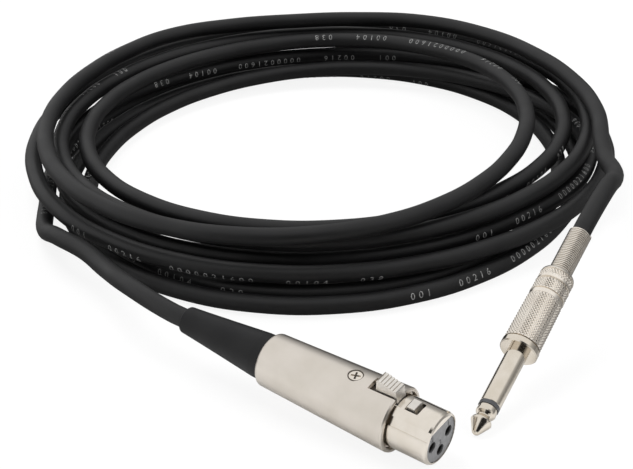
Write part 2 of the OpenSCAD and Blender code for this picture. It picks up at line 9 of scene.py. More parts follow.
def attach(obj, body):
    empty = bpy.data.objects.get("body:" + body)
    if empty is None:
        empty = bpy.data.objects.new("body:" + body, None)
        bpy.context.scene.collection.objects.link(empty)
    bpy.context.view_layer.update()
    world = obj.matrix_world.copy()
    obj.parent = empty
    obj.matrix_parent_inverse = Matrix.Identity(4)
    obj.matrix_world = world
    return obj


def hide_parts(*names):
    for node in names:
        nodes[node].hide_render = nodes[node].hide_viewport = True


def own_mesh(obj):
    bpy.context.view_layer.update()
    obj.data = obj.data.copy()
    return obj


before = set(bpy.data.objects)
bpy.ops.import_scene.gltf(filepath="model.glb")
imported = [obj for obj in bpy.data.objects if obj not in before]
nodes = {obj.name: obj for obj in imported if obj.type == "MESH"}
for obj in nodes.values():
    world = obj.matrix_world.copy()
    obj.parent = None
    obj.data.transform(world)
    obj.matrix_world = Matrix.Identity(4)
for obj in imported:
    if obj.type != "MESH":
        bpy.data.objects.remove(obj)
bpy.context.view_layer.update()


# Camera
# A long lens on a low stand, looking down on the coil from the side of the two connectors.
MM = 0.001
COIL_CENTRE = Vector((-2.3, 43.2, 0)) * MM
AIM = COIL_CENTRE + Vector((0, -52, 0)) * MM
CAMERA_DISTANCE = 592 * MM
CAMERA_ELEVATION = math.radians(27.6)
FOCAL_PIXELS = 1700
IMAGE_WIDTH = 633

lens = bpy.data.cameras.new("camera")
lens.sensor_fit = "HORIZONTAL"
lens.sensor_width = 36
lens.lens = lens.sensor_width * FOCAL_PIXELS / IMAGE_WIDTH
lens.clip_start = 0.01
camera = bpy.data.objects.new("camera", lens)
bpy.context.scene.collection.objects.link(camera)
camera.location = AIM + CAMERA_DISTANCE * Vector(
    (0, -math.cos(CAMERA_ELEVATION), math.sin(CAMERA_ELEVATION))
)
camera.rotation_euler = (math.pi / 2 - CAMERA_ELEVATION, 0, 0)
bpy.context.scene.camera = camera
bpy.context.scene.view_settings.view_transform = "Standard"


# Cable
# One length of round microphone cable with an extruded flexible PVC jacket, wound by hand in piled loops
# and laid down. It leaves the boot of the XLR connector and ends in the strain spring of the phone plug.
CABLE_D = 6.0
COIL_R = 92.2
# The winding, counted in turns from the XLR end. Each layer starts at a turn of TURN_S, where the loops lie
# TURN_R cable widths outside or inside the mean radius. A layer has slid by LAYER_X and LAYER_Y cable widths and
# is a little oval, and it lies LAYER_PITCH cable widths over the last one, reached within LAYER_CHANGE turns.
# EASE rounds the corners of the radius. Single strands bow out at a turn, by a height in cable widths and over
# half a width in turns.
TURN_S = (0, 2.27, 4.01, 6.45, 7.6)
TURN_R = (1.95, -1.05, 2, -1.75, 3.1)
LAYER_X = (0.35, 0.7, 0.33, -0.87)
LAYER_Y = (-0.85, -0.13, 1.1, -0.64)
LAYER_OVAL = (-0.04, 0.04, 0.005, -0.048)
LAYER_PITCH, LAYER_CHANGE = 1.165, 0.5
START_ANGLE = 198
LOOP_SKEW = 0.043
EASE = 0.06
BOWS = ((2.56, 0.76, 0.12), (7.3, -1.48, 0.105), (7.7, 1.3, 0.3))
RINGS_PER_TURN = 24
COIL_RINGS = 182

# How the two connectors lie, and the stations along their axes, in millimetres behind the mating end.
XLR_YAW, XLR_TILT, XLR_ROLL = math.radians(-36.1), math.radians(4.3), math.radians(9)
BARREL_FRONT_D, NOSE_LEN, RIM_ROUND = 19.7, 13.3, 0.6
XLR_NOSE = Vector((
    34.2, -190, BARREL_FRONT_D / 2 * math.cos(XLR_TILT) - (NOSE_LEN + RIM_ROUND) * math.sin(XLR_TILT)
))
PLUG_YAW, PLUG_TILT = math.radians(-119.6), math.radians(22.2)
PLUG_D, PLUG_CONE = 6.35, 4.3
PLUG_NOSE = Vector((44.8, -176.4, PLUG_D / 2 * math.cos(PLUG_TILT) - PLUG_CONE * math.sin(PLUG_TILT)))
BOOT_END = 90.6
HANDLE_START, HANDLE_END, SPRING_END = 33.2, 62.2, 80.2


def ramp(t):
    t = min(max(t, 0), 1)
    return t * t * (3 - 2 * t)


def layer_blend(values, s):
    steps = zip(values, values[1:], TURN_S[1:])
    return values[0] + sum((b - a) * ramp((s - turn) / LAYER_CHANGE + 0.5) for a, b, turn in steps)


def steady_radius(s):
    s = min(max(s, TURN_S[0]), TURN_S[-1])
    i = max(k for k in range(len(TURN_S) - 1) if s >= TURN_S[k])
    share = (s - TURN_S[i]) / (TURN_S[i + 1] - TURN_S[i])
    return COIL_R + CABLE_D * (TURN_R[i] + (TURN_R[i + 1] - TURN_R[i]) * share)


def bow(s):
    return sum(height * max(0, 1 - ((s - turn) / half) ** 2) ** 2 for turn, height, half in BOWS)


def coil_at(s):
    a = math.radians(START_ANGLE - 360 * s)
    r = sum(steady_radius(s + d) for d in (-EASE, 0, EASE)) / 3
    r *= 1 + layer_blend(LAYER_OVAL, s) * math.cos(2 * a) + LOOP_SKEW * math.sin(2 * a)
    r += CABLE_D * bow(s)
    return Vector((
        CABLE_D * layer_blend(LAYER_X, s) + r * math.cos(a),
        CABLE_D * layer_blend(LAYER_Y, s) + r * math.sin(a),
        CABLE_D * (0.5 + LAYER_PITCH * layer_blend((0, 1, 2, 3), s)),
    ))


def connector_frame(nose, yaw, tilt, roll):
    """Z runs out of the mating end and Y is the latch side."""
    turn = Matrix.Rotation(yaw, 4, "Z") @ Matrix.Rotation(tilt, 4, "Y") @ Matrix.Rotation(roll, 4, "X")
    upright = Matrix.Rotation(math.pi / 2, 4, "Z") @ Matrix.Rotation(math.pi / 2, 4, "X")
    return Matrix.Translation(nose * MM + COIL_CENTRE) @ turn @ upright @ Matrix.Scale(MM, 4)


xlr_frame = connector_frame(XLR_NOSE, XLR_YAW, XLR_TILT, XLR_ROLL)
plug_frame = connector_frame(PLUG_NOSE, PLUG_YAW, PLUG_TILT, 0)


def around_coil(points):
    return [Vector(p) * MM + COIL_CENTRE for p in points]


# Both ends leave their connector straight. The XLR lead drops to the first loop, and the plug's lead passes over
# the outermost one.
XLR_STRAIGHT, PLUG_STRAIGHT = CABLE_D, 0.8 * CABLE_D
XLR_LEAD = (
    (-57.5, -118.5, 16.5), (-67.5, -99.5, 12.5), (-75.5, -87, 12), (-86.5, -73.5, 10.5), (-93.5, -56.5, 4.5)
)
PLUG_LEAD = ((100, -44, 25.2), (99.8, -60, 28.5), (97.2, -76, 33), (92.5, -90, 36.6))
xlr_exit = xlr_frame @ Vector((0, 0, -BOOT_END))
plug_exit = plug_frame @ Vector((0, 0, -SPRING_END))
xlr_lead = [xlr_exit, xlr_frame @ Vector((0, 0, -BOOT_END - XLR_STRAIGHT))] + around_coil(XLR_LEAD)
plug_lead = around_coil(PLUG_LEAD) + [plug_frame @ Vector((0, 0, -SPRING_END - PLUG_STRAIGHT)), plug_exit]

# One more point at each end keeps the coil's direction where a lead joins it.
coil_line = [coil_at(k / RINGS_PER_TURN) * MM + COIL_CENTRE for k in range(COIL_RINGS + 1)]
coil_line.insert(0, coil_line[0] + (coil_line[0] - coil_line[1]).normalized() * CABLE_D * MM)
coil_line.append(coil_line[-1] + (coil_line[-1] - coil_line[-2]).normalized() * CABLE_D * MM)
cable_points = xlr_lead + coil_line + plug_lead

cable_curve = bpy.data.curves.new("cable", "CURVE")
cable_curve.dimensions = "3D"
cable_curve.bevel_depth = CABLE_D / 2 * MM
cable_curve.bevel_resolution = 8
cable_curve.resolution_u = 8
cable_curve.use_fill_caps = True
run = cable_curve.splines.new("BEZIER")
run.bezier_points.add(len(cable_points) - 1)
for knot, place in zip(run.bezier_points, cable_points):
    knot.co = place
    knot.handle_left_type = knot.handle_right_type = "AUTO"
cable = bpy.data.objects.new("cable", cable_curve)
bpy.context.scene.collection.objects.link(cable)
bpy.context.view_layer.update()


def linear(hex_colour):
    """An sRGB hex colour as linear red, green, blue and a full alpha."""
    parts = [int(hex_colour[k:k + 2], 16) / 255 for k in (1, 3, 5)]
    return [c / 12.92 if c <= 0.04045 else ((c + 0.055) / 1.055) ** 2.4 for c in parts] + [1]


def new_material(name):
    material = bpy.data.materials.new(name)
    material.use_nodes = True
    return material


def add(material, kind, inputs=None, **settings):
    """Adds a node. An input is a value, or the output socket that feeds it."""
    node = material.node_tree.nodes.new("ShaderNode" + kind)
    for key, value in settings.items():
        setattr(node, key, value)
    for key, value in (inputs or {}).items():
        if isinstance(value, bpy.types.NodeSocket):
            material.node_tree.links.new(value, node.inputs[key])
        else:
            node.inputs[key].default_value = value
    return node


def surface(material, **sockets):
    """Sets the shader's own sockets, or links them."""
    shader = material.node_tree.nodes["Principled BSDF"]
    for name, value in sockets.items():
        socket = shader.inputs[name.replace("_", " ")]
        if isinstance(value, bpy.types.NodeSocket):
            material.node_tree.links.new(value, socket)
        else:
            socket.default_value = value
    return shader


def grain(material, size_mm):
    """Soft noise with patches of that size."""
    place = add(material, "TexCoord").outputs["Object"]
    noise = add(material, "TexNoise", {"Vector": place, "Scale": 1 / (size_mm * MM), "Detail": 3})
    return noise.outputs["Fac"]


def mottle(material, size_mm, low, high):
    """Two colours of the same finish, in soft patches of that size."""
    blend = add(material, "ValToRGB", {"Fac": grain(material, size_mm)})
    first, last = blend.color_ramp.elements
    first.position, first.color = 0.35, linear(low)
    last.position, last.color = 0.65, linear(high)
    return blend.outputs["Color"]


def uneven(material, size_mm, low, high):
    """Roughness that drifts between two values, as handled surfaces have."""
    spread = add(material, "MapRange", {"Value": grain(material, size_mm), "From Min": 0.3, "From Max": 0.7,
                                        "To Min": low, "To Max": high})
    return spread.outputs["Result"]


def bump(material, height, depth_mm, strength):
    relief = add(material, "Bump", {"Height": height, "Distance": depth_mm * MM, "Strength": strength})
    return relief.outputs["Normal"]


# Extruded flexible PVC: a matt black skin with a very fine orange peel and a faint handled bloom.
pvc_jacket = new_material("extruded_flexible_pvc")
surface(
    pvc_jacket,
    Base_Color=mottle(pvc_jacket, 14, "#070708", "#0d0d0e"),
    Roughness=uneven(pvc_jacket, 20, 0.48, 0.58),
    Specular_IOR_Level=0.46,
    Normal=bump(pvc_jacket, grain(pvc_jacket, 0.35), 0.05, 0.5),
)
cable.data.materials.append(pvc_jacket)
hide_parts("cable_coil", "cable_lead_xlr", "cable_lead_plug")
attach(cable, "cable")

# Jacket marks
# Length marks in plain figures, printed in grey ink by a wheel as the jacket leaves the extruder. The line
# of print turns slowly round the cable, so that it shows on some loops and hides on others.
MARK_H = 2.3
FIGURE_PITCH = 2.9
GROUP_GAP = 9.0
INK_LIFT = 0.07
MARK_GROUPS = ("001", "00216", "0000021600", "00104", "038")
MARKS_FROM, MARKS_TO, MARKS_APART = 109, 4560, 377
PRINT_ANGLE, PRINT_SWING, TWIST_PER_M = 49, 108, -29
# The figures' height as a share of the font's size, and the distance at which vertices are merged.
FIGURE_SHARE = 0.7
WELD = 0.001

centre_line = []
for left, right in zip(run.bezier_points, run.bezier_points[1:]):
    part = interpolate_bezier(
        left.co, left.handle_right, right.handle_left, right.co, cable_curve.resolution_u + 1
    )
    centre_line += part[1 if centre_line else 0:]
travel = [0.0]
for here, there in zip(centre_line, centre_line[1:]):
    travel.append(travel[-1] + (there - here).length)


def on_jacket(distance, across, i):
    """A point on the jacket: distance along the cable, and the way round it from its top, in metres. Each loop
    rolls the cable to and fro, so the print lies outside at the front and inside at the back."""
    while i < len(travel) - 2 and travel[i + 1] < distance:
        i += 1
    forward = (centre_line[i + 1] - centre_line[i]).normalized()
    middle = centre_line[i] + forward * (distance - travel[i])
    side = forward.cross(Vector((0, 0, 1))).normalized()
    up = side.cross(forward)
    roll = PRINT_SWING * (middle - COIL_CENTRE).normalized().y
    turn = math.radians(PRINT_ANGLE + roll + TWIST_PER_M * distance) + across / (CABLE_D / 2 * MM)
    return middle + (CABLE_D / 2 + INK_LIFT) * MM * (math.cos(turn) * up + math.sin(turn) * side)


def figure_mesh(text, size, name):
    """Plain figures as a flat mesh in millimetres, centred on the origin."""
    bpy.ops.object.select_all(action="DESELECT")
    bpy.ops.object.text_add(location=(0, 0, 0))
    figure = bpy.context.object
    figure.name = name
    figure.data.body = text
    figure.data.size = size / FIGURE_SHARE
    figure.data.align_x, figure.data.align_y = "CENTER", "CENTER"
    figure.data.resolution_u = 2
    bpy.ops.object.convert(target="MESH")
    bpy.ops.object.mode_set(mode="EDIT")
    bpy.ops.mesh.select_all(action="SELECT")
    bpy.ops.mesh.remove_doubles(threshold=WELD)
    bpy.ops.mesh.subdivide(number_cuts=1)
    bpy.ops.object.mode_set(mode="OBJECT")
    return figure


def join_as(name, parts):
    bpy.ops.object.select_all(action="DESELECT")
    for part in parts:
        part.select_set(True)
    bpy.context.view_layer.objects.active = parts[0]
    bpy.ops.object.join()
    joined = bpy.context.object
    joined.name = name
    return joined


figures = {c: figure_mesh(c, MARK_H, "figure_" + c) for c in sorted(set("".join(MARK_GROUPS)))}
printed = []
index = 0
for first_mm in range(MARKS_FROM, MARKS_TO, MARKS_APART):
    place_mm = first_mm
    for group in reversed(MARK_GROUPS):
        for c in reversed(group):
            while travel[index + 1] < (place_mm - MARK_H) * MM:
                index += 1
            copy = figures[c].copy()
            copy.data = figures[c].data.copy()
            bpy.context.scene.collection.objects.link(copy)
            for vertex in copy.data.vertices:
                vertex.co = on_jacket((place_mm - vertex.co.x) * MM, vertex.co.y * MM, index)
            printed.append(copy)
            place_mm += FIGURE_PITCH
        place_mm += GROUP_GAP
for figure in figures.values():
    bpy.data.objects.remove(figure)
jacket_marks = join_as("jacket_marks", printed)

# Wheel-printed ink: a thin grey film, matt and a little worn.
grey_ink = new_material("wheel_printed_grey_ink")
surface(grey_ink, Base_Color=mottle(grey_ink, 0.8, "#606060", "#8e8e8d"), Roughness=0.6)
jacket_marks.data.materials.append(grey_ink)
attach(jacket_marks, "cable")


# XLR barrel
# Die-cast zinc sleeve with a tapered grip, tumbled and nickel plated. It slides over the nose from behind
# and one screw on the latch side holds it.
def dress(material, *names):
    """Gives carried-over CAD nodes their finish."""
    for name in names:
        nodes[name].data.materials.clear()
        nodes[name].data.materials.append(material)


# Satin nickel plate on a tumbled casting: warm and soft, with a fine pebbled grain.
satin_nickel = new_material("satin_nickel_on_cast_zinc")
surface(
    satin_nickel,
    Base_Color=mottle(satin_nickel, 9, "#d3ccc2", "#dad3ca"),
    Metallic=1.0,
    Roughness=uneven(satin_nickel, 12, 0.3, 0.36),
    Normal=bump(satin_nickel, grain(satin_nickel, 0.25), 0.02, 0.6),
)
dress(satin_nickel, "xlr_shell")

# XLR nose
# Thin machined sleeve with a milled D opening and a polarising groove. It carries the insert and the latch,
# and slides into the mating connector.
# Bright nickel plate over a turned surface: nearly a mirror, slightly warm.
bright_nickel = new_material("bright_nickel_plate")
surface(
    bright_nickel,
    Base_Color=mottle(bright_nickel, 6, "#dcd4c8", "#e3dcd2"),
    Metallic=1.0,
    Roughness=uneven(bright_nickel, 8, 0.13, 0.19),
    Normal=bump(bright_nickel, grain(bright_nickel, 0.5), 0.008, 0.5),
)
dress(bright_nickel, "xlr_front_shell", "xlr_retaining_screw")

# Screw gap
# The countersunk screw lies a little below the barrel. A dark ring round its head and dark bars in its cross are
# painted shade for the gap and the slots.
SCREW_AT, SCREW_TOP, SCREW_D = 28.5, 9.02, 4.3
GAP_OUTER_R, GAP_INNER_R = SCREW_D / 2 + 0.25, SCREW_D / 2 - 0.15
SLOT_LEN, SLOT_W, SLOT_DEPTH = 2.7, 0.56, 0.15
SLOT_ANGLES = (20, 110)
SHADE_LIFT, SHADE_THICKNESS = 0.03, 0.05

bpy.ops.object.select_all(action="DESELECT")
bpy.ops.mesh.primitive_circle_add(vertices=40, radius=GAP_OUTER_R, location=(0, 0, 0))
screw_painted_shade = bpy.context.object
screw_painted_shade.name = "screw_painted_shade"
bpy.ops.object.mode_set(mode="EDIT")
bpy.ops.mesh.select_all(action="SELECT")
bpy.ops.transform.translate(value=(0, 0, SHADE_LIFT))
bpy.ops.mesh.extrude_region_move()
inward = GAP_INNER_R / GAP_OUTER_R
bpy.ops.transform.resize(value=(inward, inward, 1), center_override=(0, 0, SHADE_LIFT))
slot_floor = (0, 0, -SLOT_DEPTH)
for angle in SLOT_ANGLES:
    bpy.ops.mesh.primitive_plane_add(size=1, location=slot_floor)
    bpy.ops.transform.resize(value=(SLOT_LEN, SLOT_W, 1), center_override=slot_floor)
    bpy.ops.transform.rotate(value=math.radians(angle), orient_axis="Z", center_override=slot_floor)
bpy.ops.object.mode_set(mode="OBJECT")
thicken = screw_painted_shade.modifiers.new("thicken", "SOLIDIFY")
thicken.thickness = SHADE_THICKNESS
thicken.offset = -1
bpy.ops.object.modifier_apply(modifier=thicken.name)
screw_painted_shade.data.transform(
    xlr_frame @ Matrix.Translation((0, SCREW_TOP, -SCREW_AT)) @ Matrix.Rotation(-math.pi / 2, 4, "X")
)
# Painted shade for the gap and the cross: brown-black and dull.
screw_shade_paint = new_material("painted_screw_gap_shade")
surface(screw_shade_paint, Base_Color=mottle(screw_shade_paint, 0.4, "#39342e", "#544d44"), Roughness=0.8)
screw_painted_shade.data.materials.append(screw_shade_paint)
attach(screw_painted_shade, "cable")

# XLR latch
# Pressed lever with a hook and a ribbed thumb button. It rocks on a steel pin across the nose, over a leaf spring
# that lifts the hook again.
# Plain nickel plate on a pressing: pale and even, duller than the nose.
button_nickel = new_material("nickel_plated_pressing")
surface(
    button_nickel,
    Base_Color=mottle(button_nickel, 3, "#dcd7d0", "#e6e2dc"),
    Metallic=1.0,
    Roughness=uneven(button_nickel, 5, 0.3, 0.4),
)
dress(button_nickel, "xlr_latch")

# Hardened spring steel: grey with a rolled sheen.
spring_steel = new_material("rolled_spring_steel")
surface(spring_steel, Base_Color=mottle(spring_steel, 2, "#8f8f8e", "#9d9d9b"), Metallic=1.0, Roughness=0.28)
dress(spring_steel, "xlr_latch_pin", "xlr_latch_spring")
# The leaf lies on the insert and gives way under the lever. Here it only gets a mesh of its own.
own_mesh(nodes["xlr_latch_spring"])

# XLR insert
# Grey insulator moulded in one piece, with three plated contacts deep in its holes and the contact numbers
# moulded on its face.
FACE_AT = 0.35
# Below the face the nylon darkens between these two depths, to a share of its colour, as painted shade in the
# holes.
HOLE_SHADE_FROM, HOLE_SHADE_TO, HOLE_SHADE = 0.1, 0.7, 0.08
# Glass-filled nylon: mid grey and matt, with the glass just showing as a fine mottle. Its entry holes are painted
# darker with depth, as painted shade.
grey_nylon = new_material("glass_filled_grey_nylon")
from_nose = add(
    grey_nylon,
    "VectorMath",
    {0: add(grey_nylon, "TexCoord").outputs["Object"], 1: xlr_frame.translation},
    operation="SUBTRACT",
)
ahead = add(
    grey_nylon,
    "VectorMath",
    {0: from_nose.outputs["Vector"], 1: xlr_frame.col[2].to_3d().normalized()},
    operation="DOT_PRODUCT",
)
# Painted shade: the colour darkens deeper in the holes.
painted_hole_shade = add(grey_nylon, "MapRange", {
    "Value": ahead.outputs["Value"],
    "From Min": -(FACE_AT + HOLE_SHADE_TO) * MM,
    "From Max": -(FACE_AT + HOLE_SHADE_FROM) * MM,
    "To Min": HOLE_SHADE,
    "To Max": 1.0,
})
nylon_colour = add(
    grey_nylon,
    "VectorMath",
    {0: mottle(grey_nylon, 1.2, "#6f6f70", "#7b7b7c"), "Scale": painted_hole_shade.outputs[0]},
    operation="SCALE",
)
surface(
    grey_nylon,
    Base_Color=nylon_colour.outputs["Vector"],
    Roughness=0.5,
    Normal=bump(grey_nylon, grain(grey_nylon, 0.3), 0.02, 0.5),
)
dress(grey_nylon, "xlr_insulator")

# Selectively plated brass: dull gold, darkened as painted shade deep inside the bore.
dark_painted_contact_brass = new_material("plated_contact_brass_painted_shade")
surface(dark_painted_contact_brass, Base_Color=mottle(dark_painted_contact_brass, 2, "#4e4229", "#5d5035"), Metallic=1.0, Roughness=0.4)
dress(dark_painted_contact_brass, "xlr_contact_1", "xlr_contact_2", "xlr_contact_3")

# A third of each number's depth is sunk in the face.
NUMBER_H = 1.9
NUMBER_DEPTH = 0.06
NUMBER_PLACES = {"1": (4.04, 2.75), "2": (-4.04, 2.75), "3": (0, -1.3)}
numbers = []
for text, (x, y) in NUMBER_PLACES.items():
    number = figure_mesh(text, NUMBER_H, "number_" + text)
    bpy.ops.object.mode_set(mode="EDIT")
    bpy.ops.mesh.select_all(action="SELECT")
    bpy.ops.mesh.extrude_region_move(TRANSFORM_OT_translate={"value": (0, 0, NUMBER_DEPTH)})
    bpy.ops.mesh.select_all(action="SELECT")
    bpy.ops.transform.translate(value=(x, y, -FACE_AT - NUMBER_DEPTH / 3))
    bpy.ops.mesh.normals_make_consistent(inside=False)
    bpy.ops.object.mode_set(mode="OBJECT")
    numbers.append(number)
contact_numbers = join_as("contact_numbers", numbers)
contact_numbers.data.transform(xlr_frame)
# The same nylon, darker where the mould is polished for the numbers.
number_nylon = new_material("dark_moulded_figures")
surface(number_nylon, Base_Color=mottle(number_nylon, 0.6, "#2b2c2e", "#38393b"), Roughness=0.45)
contact_numbers.data.materials.append(number_nylon)
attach(contact_numbers, "cable")

# XLR boot
# Soft tapered boot, pushed into the barrel over the cable clamp, so that the cable bends in a wide curve.
# Moulded rubber: smooth deep black with a low sheen.
boot_rubber = new_material("moulded_black_rubber")
surface(
    boot_rubber,
    Base_Color=mottle(boot_rubber, 8, "#08080a", "#0e0e0f"),
    Roughness=uneven(boot_rubber, 10, 0.46, 0.56),
    Specular_IOR_Level=0.3,
    Normal=bump(boot_rubber, grain(boot_rubber, 0.4), 0.03, 0.4),
)
dress(boot_rubber, "xlr_boot")

# Cable ends
# The jacket runs on inside the boot and the spring. In the XLR connector a slotted clamp of moulded plastic holds
# it, and a sleeve of the same plastic insulates the plug's rod.
dress(pvc_jacket, "cable_tail_xlr", "cable_tail_plug")
# Moulded acetal: black, hard and a little waxy.
black_acetal = new_material("moulded_black_acetal")
surface(black_acetal, Base_Color=mottle(black_acetal, 2, "#1b1b1c", "#242425"), Roughness=0.4)
dress(black_acetal, "xlr_cable_clamp", "plug_rod_insulator")

# Wires
# Two insulated cores and the twisted shield, cut short and soldered inside the XLR connector, and one core and
# the shield in the plug.
# Extruded polyethylene in two colours, and bare copper.
CORE_COLOURS = {"red_core_polyethylene": ("#8e1c18", "#9c2721"), "white_core_polyethylene": ("#d2d2cc", "#dcdcd6")}
cores = {}
for name, (low, high) in CORE_COLOURS.items():
    cores[name] = new_material(name)
    surface(cores[name], Base_Color=mottle(cores[name], 2, low, high), Roughness=0.45)
dress(cores["red_core_polyethylene"], "xlr_wire_2")
dress(cores["white_core_polyethylene"], "xlr_wire_3", "plug_core_wire")
bare_copper = new_material("twisted_bare_copper")
surface(bare_copper, Base_Color=mottle(bare_copper, 0.4, "#a9714b", "#c98d64"), Metallic=1.0, Roughness=0.35)
dress(bare_copper, "xlr_wire_1", "plug_shield_wire")

# Plug pin
# Turned brass tip on a rod, and a turned sleeve with a flange, both nickel plated, with an insulating ring between
# them. The solder lugs behind the flange are plated alike.
# Polished nickel plate: a clear mirror with a warm cast.
polished_nickel = new_material("polished_nickel_plate")
surface(
    polished_nickel,
    Base_Color=mottle(polished_nickel, 5, "#d6cdbf", "#ded6ca"),
    Metallic=1.0,
    Roughness=uneven(polished_nickel, 6, 0.1, 0.16),
)
dress(polished_nickel, "plug_tip", "plug_sleeve", "plug_ground_lug", "plug_tip_lug")
# Turned acetal: dark grey and a little waxy.
grey_acetal = new_material("turned_dark_grey_acetal")
surface(grey_acetal, Base_Color=mottle(grey_acetal, 2, "#3f3f41", "#4a4a4c"), Roughness=0.4)
dress(grey_acetal, "plug_insulator_ring")
# Pressed vulcanised fibre: red-brown and dry.
red_fibre = new_material("pressed_vulcanised_fibre")
surface(red_fibre, Base_Color=mottle(red_fibre, 0.8, "#5d3220", "#74452d"), Roughness=0.75)
dress(red_fibre, "plug_rear_washer")
# Rolled polyester film: milky, with a slight gloss.
polyester_film = new_material("rolled_polyester_film")
surface(polyester_film, Base_Color=mottle(polyester_film, 4, "#d6d6d0", "#e2e2dd"), Roughness=0.3)
dress(polyester_film, "plug_insulating_tube")

# Plug handle
# Turned brass shell, screwed on behind the flange, with a rolled diamond knurl, two fine grooves and two
# plain bands. The strain spring sits in the pocket at its rear.
HANDLE_FRONT_R, HANDLE_REAR_R, RIM_STEP = 5.8, 5.45, 0.6
GROOVE_1, GROOVE_2, GROOVE_DEPTH, BAND_STEP = 52.3, 57.0, 0.35, 0.15
BORE_R, LIP_R, POCKET_R = 4.7, 3.2, 3.97
SPRING_SEAT, INNER_END = 60.0, 58.8
# The real knurl is finer: its cells are drawn a little wider, so that they show.
KNURL_CELLS = 34
KNURL_CELL = 1.05
KNURL_H = 0.26
KNURL_SLACK = 0.01
KNURL_SMOOTH = math.radians(25)


def grip_r(station):
    share = (station - HANDLE_START) / (HANDLE_END - HANDLE_START)
    return HANDLE_FRONT_R + (HANDLE_REAR_R - HANDLE_FRONT_R) * share


def knurl_rows(start, stop):
    rows = round((stop - start) / KNURL_CELL)
    stations = [start + (stop - start) * k / rows for k in range(rows + 1)]
    return [(grip_r(station) - KNURL_H, station) for station in stations]


# The outline as radius and station: from the front rim over the grip to the rear, and back through the bore.
knurls = (
    (HANDLE_START + 0.45, GROOVE_1 - 1.35),
    (GROOVE_1 + 0.6, GROOVE_2 - 0.1),
    (GROOVE_2 + 1.2, HANDLE_END - 1.6),
)
groove_1_r, groove_2_r = grip_r(GROOVE_1), grip_r(GROOVE_2)
profile = [
    (HANDLE_FRONT_R - RIM_STEP, HANDLE_START),
    (HANDLE_FRONT_R - RIM_STEP, HANDLE_START + 0.3),
    (HANDLE_FRONT_R, HANDLE_START + 0.35),
    *knurl_rows(*knurls[0]),
    (groove_1_r - BAND_STEP, GROOVE_1 - 1.3),
    (groove_1_r - BAND_STEP, GROOVE_1),
    (groove_1_r - GROOVE_DEPTH, GROOVE_1 + 0.1),
    (groove_1_r - GROOVE_DEPTH, GROOVE_1 + 0.4),
    (groove_1_r, GROOVE_1 + 0.5),
    *knurl_rows(*knurls[1]),
    (groove_2_r, GROOVE_2),
    (groove_2_r - GROOVE_DEPTH, GROOVE_2 + 0.1),
    (groove_2_r - GROOVE_DEPTH, GROOVE_2 + 0.35),
    (groove_2_r - BAND_STEP, GROOVE_2 + 0.45),
    (groove_2_r - BAND_STEP, GROOVE_2 + 1.1),
    *knurl_rows(*knurls[2]),
    (grip_r(HANDLE_END), HANDLE_END - 1.5),
    (HANDLE_REAR_R - 0.15, HANDLE_END - 0.8),
    (HANDLE_REAR_R - 0.5, HANDLE_END - 0.25),
    (HANDLE_REAR_R - 0.9, HANDLE_END),
    (POCKET_R, HANDLE_END),
    (POCKET_R, SPRING_SEAT),
    (LIP_R, SPRING_SEAT),
    (LIP_R, INNER_END),
    (BORE_R, INNER_END),
    (BORE_R, HANDLE_START),
]

bpy.ops.object.select_all(action="DESELECT")
bpy.ops.mesh.primitive_circle_add(vertices=KNURL_CELLS, radius=profile[0][0], location=(0, 0, 0))
plug_handle = bpy.context.object
plug_handle.name = "knurled_handle"
bpy.ops.object.mode_set(mode="EDIT")
bpy.ops.mesh.select_all(action="SELECT")
bpy.ops.transform.translate(value=(0, 0, -profile[0][1]))
for (radius, station), (next_radius, next_station) in zip(profile, profile[1:] + profile[:1]):
    bpy.ops.mesh.extrude_region_move(TRANSFORM_OT_translate={"value": (0, 0, station - next_station)})
    scale = next_radius / radius
    bpy.ops.transform.resize(value=(scale, scale, 1), center_override=(0, 0, -next_station))
bpy.ops.mesh.select_all(action="SELECT")
bpy.ops.mesh.remove_doubles(threshold=WELD)
bpy.ops.mesh.normals_make_consistent(inside=False)


def in_knurl(point):
    outside = math.hypot(point.x, point.y) > BORE_R + KNURL_SLACK
    return outside and any(start - KNURL_SLACK < -point.z < stop + KNURL_SLACK for start, stop in knurls)


def place_of(vertex):
    return tuple(round(c, 3) for c in vertex.co)


def select_in(mesh, faces=(), edges=()):
    bpy.ops.mesh.select_all(action="DESELECT")
    for element in list(faces) + list(edges):
        element.select_set(True)
    bmesh.update_edit_mesh(mesh)


# Each cell of the band is poked and its sides are dissolved, which leaves diamonds, and each diamond is poked
# again to a point.
bpy.ops.mesh.select_mode(type="FACE")
work = bmesh.from_edit_mesh(plug_handle.data)
corners = {place_of(v) for v in work.verts}
band = [f for f in work.faces if all(in_knurl(v.co) for v in f.verts)]
select_in(plug_handle.data, faces=band)
bpy.ops.mesh.poke(offset=0)
bpy.ops.mesh.select_mode(type="EDGE")
work = bmesh.from_edit_mesh(plug_handle.data)
cell_sides = [e for e in work.edges if len(e.link_faces) == 2 and all(len(f.verts) == 3 for f in e.link_faces)
              and all(place_of(v) in corners for v in e.verts)]
select_in(plug_handle.data, edges=cell_sides)
bpy.ops.mesh.dissolve_edges(use_verts=False, use_face_split=False)
bpy.ops.mesh.select_mode(type="FACE")
work = bmesh.from_edit_mesh(plug_handle.data)
diamonds = [f for f in work.faces if len(f.verts) == 4 and in_knurl(f.calc_center_median())
            and any(place_of(v) not in corners for v in f.verts)]
select_in(plug_handle.data, faces=diamonds)
bpy.ops.mesh.poke(offset=KNURL_H)
bpy.ops.object.mode_set(mode="OBJECT")
bpy.ops.object.select_all(action="DESELECT")
plug_handle.select_set(True)
bpy.context.view_layer.objects.active = plug_handle
bpy.ops.object.shade_smooth_by_angle(angle=KNURL_SMOOTH)
plug_handle.data.transform(plug_frame)

# Satin nickel plate over knurled brass: each diamond catches its own small light.
knurled_nickel = new_material("nickel_on_knurled_brass")
surface(
    knurled_nickel,
    Base_Color=mottle(knurled_nickel, 5, "#e6ded3", "#efe8de"),
    Metallic=1.0,
    Roughness=uneven(knurled_nickel, 6, 0.2, 0.28),
)
plug_handle.data.materials.append(knurled_nickel)
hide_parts("plug_handle")
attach(plug_handle, "cable")

